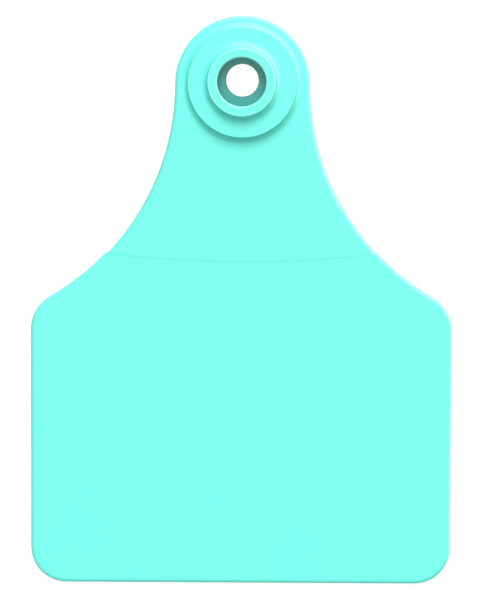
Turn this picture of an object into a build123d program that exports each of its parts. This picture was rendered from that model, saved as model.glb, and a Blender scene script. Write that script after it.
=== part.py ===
from build123d import *
import os
from math import acos, degrees, sqrt

# Front half of a two-piece livestock ear tag, lying on its back, in millimetres.
# The origin is on the stud's axis at the back face, +Y points to the head's round end, +Z out of the front.
os.makedirs("parts", exist_ok=True)

# Hard locking ring that the stud's tip is pushed through from behind
ring_bore_radius = 2.9
ring_thickness = 1.8
ring_lead_in = 0.5
ring_edge_bevel = 0.12
# How far the ring stands in from the recess's wall, and how far it reaches out into the moulding
ring_ledge = 1.45
ring_grip = 1.95
back_skin = 0.7

# Stepped boss round the recess
collar_wall = 1.72
collar_height = 2.45
collar_fillet = 1.2
flange_ledge = 3.54
flange_height = 2.35
flange_fillet = 1.15
boss_draft = 0.12
collar_rim_radius = 0.25
mouth_bevel = 0.18
# The collar and the recess share an axis that stands a hair off the stud's, and the flange's stands off further
collar_shift = 0.09
collar_drop = 0.22
flange_drop = 0.4

# Head, whose arc's centre stands a little further down still, and the hollow curve of the neck
head_rim = 2.32
head_drop = 0.6
flare_radius = 44.0

# Writing panel
panel_width = 75.0
panel_side = 39.14
panel_thickness = 1.5
panel_corner_radius = 6.36
shoulder_radius = 6.83
front_edge_radius = 0.7
back_edge_bevel = 0.2

# Seam across the neck, where the two halves of the mould's cavity meet a hair out of line
seam_rise = 12.3
seam_radius = 206.0
seam_step = 0.32
seam_shift = 0.12
neck_rise = 0.05

# Radii and heights that follow from the sizes above
socket_radius = ring_bore_radius + ring_ledge
ring_outer_radius = socket_radius + ring_grip
entry_radius = ring_bore_radius + ring_lead_in
funnel_radius = entry_radius + back_skin
collar_radius = socket_radius + collar_wall
collar_foot_radius = collar_radius + boss_draft
flange_radius = collar_radius + flange_ledge
flange_foot_radius = flange_radius + boss_draft
head_radius = flange_radius + head_rim
neck_thickness = panel_thickness + neck_rise
flange_top = neck_thickness + flange_height
collar_top = flange_top + collar_height
ring_front = back_skin + ring_thickness

# The shoulder's circle touches the flare's circle from outside, which sets the panel's place
panel_half_neck = head_radius + seam_step
flare_to_shoulder = flare_radius + shoulder_radius
flare_to_shoulder_x = panel_half_neck + flare_radius + shoulder_radius - panel_width / 2
shoulder_drop = head_drop + sqrt(flare_to_shoulder**2 - flare_to_shoulder_x**2)
shoulder_turn = degrees(acos(flare_to_shoulder_x / flare_to_shoulder))
panel_drop = shoulder_drop + panel_side + panel_corner_radius
seam_drop = shoulder_drop - seam_rise


def tag_outline(half_neck):
    """Outline of the whole plate: head arc, hollow flare, shoulder, side and lower corner, on both sides."""
    with BuildSketch() as outline:
        with BuildLine():
            head = CenterArc((0, -head_drop), half_neck, 90, -90)
            flare = JernArc(head @ 1, (0, -1), flare_radius, shoulder_turn)
            shoulder = JernArc(flare @ 1, flare % 1, shoulder_radius, -shoulder_turn)
            side = Line(shoulder @ 1, shoulder @ 1 - (0, panel_side))
            corner = JernArc(side @ 1, (0, -1), panel_corner_radius, -90)
            Line(corner @ 1, (0, -panel_drop))
            mirror(about=Plane.YZ)
        make_face()
    return outline.sketch


def seam_disc():
    """Disc that the neck and head lie inside and the panel outside: its lower edge is the seam."""
    with BuildSketch() as disc:
        with Locations((0, seam_radius - seam_drop)):
            Circle(seam_radius)
    return disc.sketch


# Neck and head, as far as the seam
with BuildPart() as neck_plate:
    with BuildSketch():
        add(tag_outline(head_radius))
    extrude(amount=neck_thickness)
    fillet(neck_plate.faces().sort_by(Axis.Z)[-1].edges(), front_edge_radius)
    chamfer(neck_plate.faces().sort_by(Axis.Z)[0].edges(), back_edge_bevel)
    with BuildSketch():
        add(seam_disc())
    extrude(amount=neck_thickness, mode=Mode.INTERSECT)

# Panel, from the seam down
with BuildPart() as panel_plate:
    with BuildSketch(Plane((-seam_shift, 0, 0))):
        add(tag_outline(panel_half_neck))
    extrude(amount=panel_thickness)
    fillet(panel_plate.faces().sort_by(Axis.Z)[-1].edges(), front_edge_radius)
    chamfer(panel_plate.faces().sort_by(Axis.Z)[0].edges(), back_edge_bevel)
    with BuildSketch():
        add(seam_disc())
    extrude(amount=panel_thickness, mode=Mode.SUBTRACT)

# Boss, from inside the plate up: the flange disc, then the collar on its own axis, each with a little draft
with BuildPart() as boss:
    with BuildSketch(Plane((0, -flange_drop, 0), x_dir=(1, 0, 0), z_dir=(0, -1, 0))):
        with BuildLine():
            Polyline(
                (0, panel_thickness / 2),
                (flange_foot_radius, panel_thickness / 2),
                (flange_foot_radius, neck_thickness),
                (flange_radius, flange_top),
                (0, flange_top),
                close=True,
            )
        make_face()
    revolve(axis=Axis((0, -flange_drop, 0), (0, 0, 1)))
    with BuildSketch(Plane((-collar_shift, -collar_drop, 0), x_dir=(1, 0, 0), z_dir=(0, -1, 0))):
        with BuildLine():
            Polyline(
                (0, neck_thickness),
                (collar_foot_radius, neck_thickness),
                (collar_foot_radius, flange_top),
                (collar_radius, collar_top),
                (0, collar_top),
                close=True,
            )
        make_face()
    revolve(axis=Axis((-collar_shift, -collar_drop, 0), (0, 0, 1)))
    levels = boss.edges().filter_by(GeomType.CIRCLE).group_by(Axis.Z)
    fillet(levels[-1], collar_rim_radius)
    fillet(levels[-2].sort_by(SortBy.RADIUS)[0], collar_fillet)

# The whole moulding: the plates and the boss in one piece, with the recess and the pocket that the ring fills
with BuildPart() as tag_body:
    add(neck_plate.part)
    add(panel_plate.part)
    add(boss.part)
    rings = tag_body.edges().filter_by(GeomType.CIRCLE)
    fillet(rings.filter_by(lambda ring: abs(ring.radius - flange_foot_radius) < boss_draft / 2), flange_fillet)
    with BuildSketch(Plane.XZ):
        with BuildLine():
            Polyline(
                (0, 0),
                (funnel_radius, 0),
                (entry_radius, back_skin),
                (ring_outer_radius, back_skin),
                (ring_outer_radius, ring_front),
                (0, ring_front),
                close=True,
            )
        make_face()
    revolve(axis=Axis.Z, mode=Mode.SUBTRACT)
    with BuildSketch(Plane((-collar_shift, -collar_drop, ring_front))):
        Circle(socket_radius)
    extrude(amount=collar_top - ring_front, mode=Mode.SUBTRACT)
    mouth = tag_body.edges().filter_by(GeomType.CIRCLE).group_by(Axis.Z)[-1].sort_by(SortBy.RADIUS)[0]
    chamfer(mouth, mouth_bevel)
tag_body.part.label = "tag_body"
export_step(tag_body.part, "parts/tag_body.step")

# Locking ring: a flat washer with a lead-in at the back, its front edge just broken
with BuildPart() as locking_ring:
    with BuildSketch(Plane.XY.offset(back_skin)):
        Circle(ring_outer_radius)
        Circle(ring_bore_radius, mode=Mode.SUBTRACT)
    extrude(amount=ring_thickness)
    bore_edges = locking_ring.edges().filter_by(GeomType.CIRCLE).group_by(SortBy.RADIUS)[0].sort_by(Axis.Z)
    chamfer(bore_edges[0], ring_lead_in)
    chamfer(bore_edges[-1], ring_edge_bevel)
locking_ring.part.label = "locking_ring"
export_step(locking_ring.part, "parts/locking_ring.step")
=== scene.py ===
import math

import bpy
from mathutils import Matrix, Vector

# The front half of a two-piece livestock ear tag lies on its back, in metres.
# Its stud hole is the origin, +Y points to the head's round end and +Z out of the front face.
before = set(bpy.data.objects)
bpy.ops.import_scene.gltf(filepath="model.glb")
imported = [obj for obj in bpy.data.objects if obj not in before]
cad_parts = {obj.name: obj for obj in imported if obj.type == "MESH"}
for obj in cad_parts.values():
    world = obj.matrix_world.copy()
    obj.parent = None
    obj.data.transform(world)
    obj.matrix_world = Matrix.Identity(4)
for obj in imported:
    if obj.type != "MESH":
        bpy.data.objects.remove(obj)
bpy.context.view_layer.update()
tag_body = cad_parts["tag_body"]
locking_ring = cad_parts["locking_ring"]

# Colours are linear
WHITE = (1.0, 1.0, 1.0, 1.0)
TAG_AQUA = (0.154, 0.95, 0.82, 1.0)
TAG_AQUA_DEEP = (0.149, 0.935, 0.805, 1.0)
# Painted highlight: the pale colour drawn on the edges of the mouth and the collar
TAG_EDGE_PAINTED_HIGHLIGHT = (0.38, 1.0, 0.94, 1.0)
# Painted shade: the darker colour drawn along the small step of the seam across the neck
TAG_SEAM_PAINTED_SHADE = (0.124, 0.908, 0.778, 1.0)
RING_TEAL = (0.034, 0.305, 0.268, 1.0)
RING_TEAL_DEEP = (0.028, 0.275, 0.243, 1.0)

# The skin of each plastic, its gloss, and its bump's strength and depth
TAG_SKIN = {
    "Grains per metre": 2600.0,
    "Clouds per metre": 45.0,
    "Middle roughness": 0.5,
    "Roughness spread": 0.04,
    "First colour": TAG_AQUA,
    "Second colour": TAG_AQUA_DEEP,
}
TAG_SPECULAR = 0.7
TAG_BUMP_STRENGTH = 0.25
TAG_BUMP_DEPTH = 0.00003
RING_SKIN = {
    "Grains per metre": 4200.0,
    "Clouds per metre": 160.0,
    "Middle roughness": 0.32,
    "Roughness spread": 0.05,
    "First colour": RING_TEAL,
    "Second colour": RING_TEAL_DEEP,
}
RING_SPECULAR = 0.5
RING_BUMP_STRENGTH = 0.2
RING_BUMP_DEPTH = 0.00002
PLASTIC_IOR = 1.5
# Between these two values of the noise, the clouds take the roughness from its lowest to its highest
CLOUD_LOW = 0.25
CLOUD_HIGH = 0.75

# Lines painted on the moulding are rings round an upright axis. The edges of the mouth and the collar carry
# a painted highlight, a pale line, and the seam across the neck carries painted shade, a faint dark line
# along its small step, which is an arc of a wide ring.
COLLAR_AXIS = (-0.00009, -0.00022, 0.0)
COLLAR_EDGES_ABOVE = 0.006
SEAM_AXIS = (0.0, 0.173776, 0.0)
SEAM_ABOVE = 0.001
LINE_SOFT_WIDTH = 0.00008
# Painted highlights: pale lines drawn on the edges of the mouth and the collar
MOUTH_PAINTED_HIGHLIGHT = {"Axis": COLLAR_AXIS, "Radius": 0.00443, "Half width": 0.00005, "Above": COLLAR_EDGES_ABOVE}
COLLAR_PAINTED_HIGHLIGHT = {"Axis": COLLAR_AXIS, "Radius": 0.00588, "Half width": 0.00004, "Above": COLLAR_EDGES_ABOVE}
# Painted shade: a faint dark line along the seam's small step
SEAM_PAINTED_SHADE = {"Axis": SEAM_AXIS, "Radius": 0.206, "Half width": 0.00012, "Above": SEAM_ABOVE}

# The floor throws light back as a pale one. What is seen of it is a darker shade, which takes the tag's
# shadow, and a glow. These two add up to white where nothing shades the floor.
FLOOR_PALE = (0.8, 0.8, 0.8, 1.0)
FLOOR_SHADE = (0.1, 0.1, 0.1, 1.0)
FLOOR_GLOW = 0.94
FLOOR_GAP = 0.00002
FLOOR_REACH = 4.0

# Far soft lamps, with their place and width in the sky in degrees
SOFT_LAMPS = {
    "key": {"azimuth": 88.0, "elevation": 53.0, "width": 36.0, "strength": 2.56},
    "fill": {"azimuth": 250.0, "elevation": 50.0, "width": 70.0, "strength": 0.55},
    "top": {"azimuth": 30.0, "elevation": 80.0, "width": 50.0, "strength": 0.6},
}
LAMP_AWAY = 1.0

# Long strip lights stand low beyond the head's right, and give the coves and edges their pale lines.
# One also lights dull surfaces, and the other only shows in reflections.
STRIP_LIGHTS = {
    "warm_strip": {
        "azimuth": 52.0,
        "elevation": 2.2,
        "length": 1.4,
        "height": 0.05,
        "watts": 3.8,
        "colour": (1.0, 0.76, 0.55),
        "lights_dull": True,
    },
    "gloss_strip": {
        "azimuth": 40.0,
        "elevation": 5.5,
        "length": 2.2,
        "height": 0.16,
        "watts": 17.5,
        "colour": (1.0, 1.0, 1.0),
        "lights_dull": False,
    },
}
STRIP_AWAY = 0.6

# Camera, fitted to the tag's outline in the picture of 480 by 600 pixels
PICTURE_HEIGHT = 600
FOCAL_PIXELS = 3584.25
SENSOR_MM = 36.0
CAMERA_EYE = Vector((0.00813, 0.01801, 0.63687))
CAMERA_AIM = Vector((-0.00033, -0.0392, 0.0))
CAMERA_ROLL = 0.0034
CAMERA_NEAR = 0.01
CAMERA_FAR = 100.0


def socket(tree, side, name, kind, value=None):
    """Adds one named socket to a node group, with its default value."""
    made = tree.interface.new_socket(name=name, in_out=side, socket_type=kind)
    if value is not None:
        made.default_value = value


def worked(tree, operation, *values):
    """Adds a Math node that works on the given sockets, and returns its result."""
    made = tree.nodes.new("ShaderNodeMath")
    made.operation = operation
    for value, entry in zip(values, made.inputs):
        tree.links.new(value, entry)
    return made.outputs["Value"]


def noise(tree, scale, detail, roughness):
    """Adds noise on Object coordinates, with its scale from a socket, and returns its value."""
    place = tree.nodes.new("ShaderNodeTexCoord")
    made = tree.nodes.new("ShaderNodeTexNoise")
    made.inputs["Detail"].default_value = detail
    made.inputs["Roughness"].default_value = roughness
    tree.links.new(place.outputs["Object"], made.inputs["Vector"])
    tree.links.new(scale, made.inputs["Scale"])
    return made.outputs["Fac"]


def colour_mix(tree, factor):
    """Adds a Mix node for colours, and returns its first and second colour and its result."""
    mix = tree.nodes.new("ShaderNodeMix")
    mix.data_type = "RGBA"
    tree.links.new(factor, mix.inputs["Factor"])
    first, second = [entry for entry in mix.inputs if entry.type == "RGBA"]
    result = [entry for entry in mix.outputs if entry.type == "RGBA"][0]
    return first, second, result


def moulded_satin():
    """Shader group for the skin that an eroded mould leaves on plastic.

    Height is fine noise, one lump for each grain. Roughness is the middle value plus the spread times
    broad clouds that run from -1 to 1. Colour goes from the first to the second colour with the same clouds.
    """
    tree = bpy.data.node_groups.new("moulded_satin", "ShaderNodeTree")
    socket(tree, "INPUT", "Grains per metre", "NodeSocketFloat", 3000.0)
    socket(tree, "INPUT", "Clouds per metre", "NodeSocketFloat", 60.0)
    socket(tree, "INPUT", "Middle roughness", "NodeSocketFloat", 0.4)
    socket(tree, "INPUT", "Roughness spread", "NodeSocketFloat", 0.04)
    socket(tree, "INPUT", "First colour", "NodeSocketColor", WHITE)
    socket(tree, "INPUT", "Second colour", "NodeSocketColor", WHITE)
    socket(tree, "OUTPUT", "Colour", "NodeSocketColor")
    socket(tree, "OUTPUT", "Roughness", "NodeSocketFloat")
    socket(tree, "OUTPUT", "Height", "NodeSocketFloat")
    link = tree.links.new
    given = tree.nodes.new("NodeGroupInput").outputs
    out = tree.nodes.new("NodeGroupOutput").inputs

    link(noise(tree, given["Grains per metre"], detail=3.0, roughness=0.55), out["Height"])

    clouds = noise(tree, given["Clouds per metre"], detail=4.0, roughness=0.6)
    centred = tree.nodes.new("ShaderNodeMapRange")
    centred.inputs["From Min"].default_value = CLOUD_LOW
    centred.inputs["From Max"].default_value = CLOUD_HIGH
    centred.inputs["To Min"].default_value = -1.0
    centred.inputs["To Max"].default_value = 1.0
    link(clouds, centred.inputs["Value"])
    swing = centred.outputs["Result"]
    roughness = worked(tree, "MULTIPLY_ADD", swing, given["Roughness spread"], given["Middle roughness"])
    link(roughness, out["Roughness"])

    first, second, result = colour_mix(tree, clouds)
    link(given["First colour"], first)
    link(given["Second colour"], second)
    link(result, out["Colour"])
    return tree


def axis_ring():
    """Shader group that marks a ring round an upright axis.

    Mark is 1 where the distance from the axis is within half the ring's width of its radius, and falls
    smoothly to 0 over the soft width beyond. It is 0 everywhere below the height Above.
    """
    tree = bpy.data.node_groups.new("axis_ring", "ShaderNodeTree")
    socket(tree, "INPUT", "Axis", "NodeSocketVector")
    socket(tree, "INPUT", "Radius", "NodeSocketFloat", 0.005)
    socket(tree, "INPUT", "Half width", "NodeSocketFloat", 0.0001)
    socket(tree, "INPUT", "Soft width", "NodeSocketFloat", 0.0001)
    socket(tree, "INPUT", "Above", "NodeSocketFloat", 0.0)
    socket(tree, "OUTPUT", "Mark", "NodeSocketFloat")
    link = tree.links.new
    given = tree.nodes.new("NodeGroupInput").outputs
    out = tree.nodes.new("NodeGroupOutput").inputs

    place = tree.nodes.new("ShaderNodeTexCoord")
    offset = tree.nodes.new("ShaderNodeVectorMath")
    offset.operation = "SUBTRACT"
    link(place.outputs["Object"], offset.inputs[0])
    link(given["Axis"], offset.inputs[1])
    parts = tree.nodes.new("ShaderNodeSeparateXYZ")
    link(offset.outputs["Vector"], parts.inputs["Vector"])
    across, along, height = parts.outputs
    across_squared = worked(tree, "MULTIPLY", across, across)
    along_squared = worked(tree, "MULTIPLY", along, along)
    reach = worked(tree, "SQRT", worked(tree, "ADD", across_squared, along_squared))
    away = worked(tree, "ABSOLUTE", worked(tree, "SUBTRACT", reach, given["Radius"]))

    fall = tree.nodes.new("ShaderNodeMapRange")
    fall.interpolation_type = "SMOOTHSTEP"
    link(worked(tree, "SUBTRACT", away, given["Half width"]), fall.inputs["Value"])
    link(given["Soft width"], fall.inputs["From Max"])
    fall.inputs["To Min"].default_value = 1.0
    fall.inputs["To Max"].default_value = 0.0
    higher = worked(tree, "GREATER_THAN", height, given["Above"])
    link(worked(tree, "MULTIPLY", fall.outputs["Result"], higher), out["Mark"])
    return tree


def place_group(tree, shader_group, values):
    """Places a shader group in a material with the given values, and returns its outputs."""
    group = tree.nodes.new("ShaderNodeGroup")
    group.node_tree = shader_group
    for name, value in values.items():
        group.inputs[name].default_value = value
    return group.outputs


def satin_material(name, satin, skin, specular, bump_strength, bump_depth):
    """A moulded plastic: the satin skin feeds a Principled shader's colour, roughness and bump."""
    material = bpy.data.materials.new(name)
    material.use_nodes = True
    tree = material.node_tree
    shader = tree.nodes["Principled BSDF"]
    surface = place_group(tree, satin, skin)
    relief = tree.nodes.new("ShaderNodeBump")
    relief.inputs["Strength"].default_value = bump_strength
    relief.inputs["Distance"].default_value = bump_depth
    tree.links.new(surface["Colour"], shader.inputs["Base Color"])
    tree.links.new(surface["Roughness"], shader.inputs["Roughness"])
    tree.links.new(surface["Height"], relief.inputs["Height"])
    tree.links.new(relief.outputs["Normal"], shader.inputs["Normal"])
    shader.inputs["IOR"].default_value = PLASTIC_IOR
    shader.inputs["Specular IOR Level"].default_value = specular
    return material


def draw_line(material, ring, values, colour):
    """Mixes a colour over the material's own colour where the ring's mark is 1."""
    tree = material.node_tree
    line = place_group(tree, ring, {**values, "Soft width": LINE_SOFT_WIDTH})
    base = tree.nodes["Principled BSDF"].inputs["Base Color"]
    first, second, result = colour_mix(tree, line["Mark"])
    tree.links.new(base.links[0].from_socket, first)
    second.default_value = colour
    tree.links.new(result, base)


def aqua_polyurethane(satin, ring):
    """Satin aqua moulding, with painted highlight on its mouth and collar edges, painted shade along its
    seam.
    """
    strength, depth = TAG_BUMP_STRENGTH, TAG_BUMP_DEPTH
    material = satin_material("aqua_polyurethane", satin, TAG_SKIN, TAG_SPECULAR, strength, depth)
    # Painted highlights on the edges of the mouth and the collar
    draw_line(material, ring, MOUTH_PAINTED_HIGHLIGHT, TAG_EDGE_PAINTED_HIGHLIGHT)
    draw_line(material, ring, COLLAR_PAINTED_HIGHLIGHT, TAG_EDGE_PAINTED_HIGHLIGHT)
    # Painted shade along the seam's small step
    draw_line(material, ring, SEAM_PAINTED_SHADE, TAG_SEAM_PAINTED_SHADE)
    return material


def teal_hard_plastic(satin):
    """Darker teal of the locking ring, a little glossier and finer in grain than the moulding."""
    strength, depth = RING_BUMP_STRENGTH, RING_BUMP_DEPTH
    return satin_material("teal_hard_plastic", satin, RING_SKIN, RING_SPECULAR, strength, depth)


def dress(piece, material):
    """Gives one CAD node its material."""
    piece.data.materials.clear()
    piece.data.materials.append(material)


def seen_ray(tree):
    """1 for camera rays, reflections and clear transmission, 0 for the light that dull surfaces gather."""
    path = tree.nodes.new("ShaderNodeLightPath").outputs
    glossy = worked(tree, "MAXIMUM", path["Is Camera Ray"], path["Is Glossy Ray"])
    return worked(tree, "MAXIMUM", glossy, path["Is Transmission Ray"])


def pale_floor():
    """Floor material: white with the tag's shadow where it is seen, and pale where it throws light back."""
    material = bpy.data.materials.new("pale_floor")
    material.use_nodes = True
    tree = material.node_tree
    tree.nodes.remove(tree.nodes["Principled BSDF"])
    bounce = tree.nodes.new("ShaderNodeBsdfDiffuse")
    bounce.inputs["Color"].default_value = FLOOR_PALE
    shade = tree.nodes.new("ShaderNodeBsdfDiffuse")
    shade.inputs["Color"].default_value = FLOOR_SHADE
    glow = tree.nodes.new("ShaderNodeEmission")
    glow.inputs["Strength"].default_value = FLOOR_GLOW
    seen = tree.nodes.new("ShaderNodeAddShader")
    tree.links.new(shade.outputs["BSDF"], seen.inputs[0])
    tree.links.new(glow.outputs["Emission"], seen.inputs[1])
    mix = tree.nodes.new("ShaderNodeMixShader")
    tree.links.new(seen_ray(tree), mix.inputs["Fac"])
    tree.links.new(bounce.outputs["BSDF"], mix.inputs[1])
    tree.links.new(seen.outputs["Shader"], mix.inputs[2])
    tree.links.new(mix.outputs["Shader"], tree.nodes["Material Output"].inputs["Surface"])
    return material


def make_floor():
    """A plain square floor round the origin, a hair below the tag's back face."""
    sides = ((-1, -1), (1, -1), (1, 1), (-1, 1))
    corners = [(x * FLOOR_REACH, y * FLOOR_REACH, -FLOOR_GAP) for x, y in sides]
    mesh = bpy.data.meshes.new("floor")
    mesh.from_pydata(corners, [], [(0, 1, 2, 3)])
    mesh.materials.append(pale_floor())
    floor = bpy.data.objects.new("floor", mesh)
    bpy.context.scene.collection.objects.link(floor)


def make_sky():
    """A sky that is plain white where it is seen or mirrored, and gives dull surfaces no light."""
    world = bpy.data.worlds.new("studio")
    bpy.context.scene.world = world
    world.use_nodes = True
    sky = world.node_tree.nodes["Background"]
    sky.inputs["Color"].default_value = WHITE
    world.node_tree.links.new(seen_ray(world.node_tree), sky.inputs["Strength"])


def hang_lamp(name, data, azimuth, elevation, away):
    """Hangs a lamp that points at the stud hole and stands that far away from it, in metres.

    Its azimuth, from +X towards +Y, and its elevation are in degrees.
    """
    turn = math.radians(azimuth)
    rise = math.radians(elevation)
    towards = Vector((math.cos(turn) * math.cos(rise), math.sin(turn) * math.cos(rise), math.sin(rise)))
    lamp = bpy.data.objects.new(name, data)
    lamp.rotation_mode = "QUATERNION"
    lamp.rotation_quaternion = towards.to_track_quat("Z", "Y")
    lamp.location = away * towards
    bpy.context.scene.collection.objects.link(lamp)
    return lamp


def add_soft_lamp(name, azimuth, elevation, width, strength):
    """A far soft lamp, seen from the tag as a bright disc of that width in degrees."""
    data = bpy.data.lights.new(name, "SUN")
    data.angle = math.radians(width)
    data.energy = strength
    hang_lamp(name, data, azimuth, elevation, LAMP_AWAY)


def add_strip_light(name, azimuth, elevation, length, height, watts, colour, lights_dull):
    """A long low strip light, level and facing the tag."""
    data = bpy.data.lights.new(name, "AREA")
    data.shape = "RECTANGLE"
    data.size = length
    data.size_y = height
    data.energy = watts
    data.color = colour
    strip = hang_lamp(name, data, azimuth, elevation, STRIP_AWAY)
    strip.visible_diffuse = lights_dull


def make_camera():
    """Camera at the fitted eye, looking at the fitted aim, rolled about its own line of sight."""
    data = bpy.data.cameras.new("camera")
    data.sensor_fit = "AUTO"
    data.sensor_width = SENSOR_MM
    data.lens = FOCAL_PIXELS * SENSOR_MM / PICTURE_HEIGHT
    data.clip_start = CAMERA_NEAR
    data.clip_end = CAMERA_FAR
    forward = (CAMERA_AIM - CAMERA_EYE).normalized()
    right = forward.cross(Vector((0.0, 1.0, 0.0))).normalized()
    up = right.cross(forward)
    level = Matrix((right, up, -forward)).transposed()
    rolled = level @ Matrix.Rotation(CAMERA_ROLL, 3, "Z")
    camera = bpy.data.objects.new("camera", data)
    camera.matrix_world = Matrix.Translation(CAMERA_EYE) @ rolled.to_4x4()
    bpy.context.scene.collection.objects.link(camera)
    bpy.context.scene.camera = camera


satin = moulded_satin()
ring = axis_ring()
dress(tag_body, aqua_polyurethane(satin, ring))
dress(locking_ring, teal_hard_plastic(satin))

make_floor()
make_sky()
for lamp_name, values in SOFT_LAMPS.items():
    add_soft_lamp(lamp_name, **values)
for strip_name, values in STRIP_LIGHTS.items():
    add_strip_light(strip_name, **values)
make_camera()
bpy.context.scene.view_settings.view_transform = "Standard"
